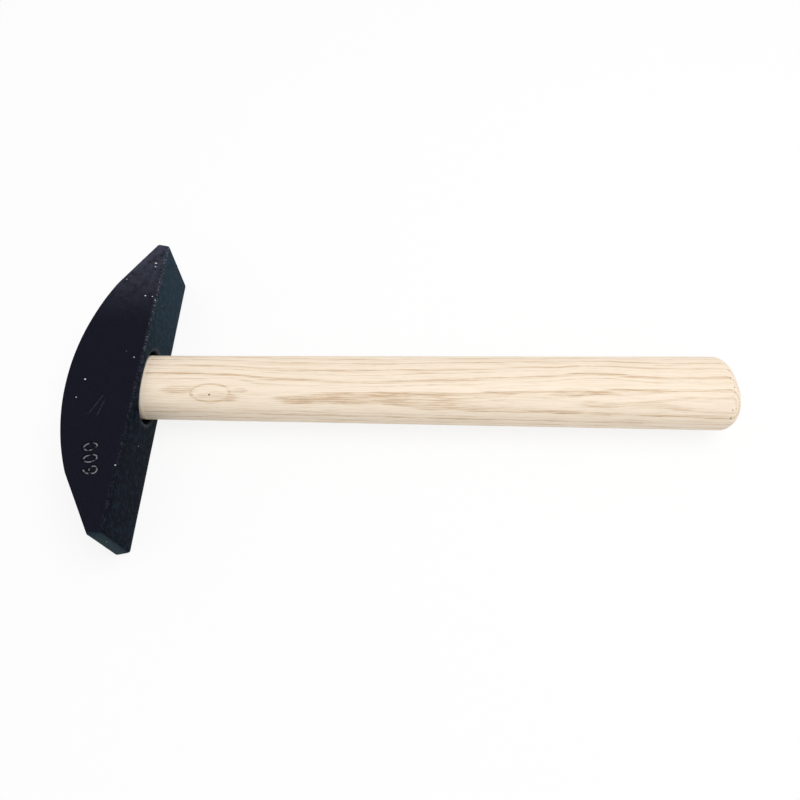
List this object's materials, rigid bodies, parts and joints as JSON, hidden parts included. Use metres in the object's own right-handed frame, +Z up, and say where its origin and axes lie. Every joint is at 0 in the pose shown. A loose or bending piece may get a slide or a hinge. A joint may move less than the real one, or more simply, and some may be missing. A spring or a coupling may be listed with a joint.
{
  "type": "scythe peening hammer",
  "caption": "Hand hammer with a black forged head, flat below and arched above, a narrow cross peen at each end, on a wedged oval ash handle.",
  "frame": {"origin": "on the cheek that the hammer lies on, under the middle of the eye", "axes": "+X along the handle towards its butt, +Y along the head from peen to peen, +Z up from the cheek that it lies on"},
  "size_m": [0.2969, 0.1428, 0.03],
  "materials": {
    "painted_steel": "satin black paint over forged steel",
    "ash_wood": "smooth sanded ash, unvarnished",
    "wedge_wood": "sawn hardwood",
    "wedge_steel": "bare steel"
  },
  "bodies": {
    "root": {"hammer_head": "painted_steel", "handle": "ash_wood", "wooden_wedge": "wedge_wood", "steel_wedge": "wedge_steel"}
  },
  "joints": []
}
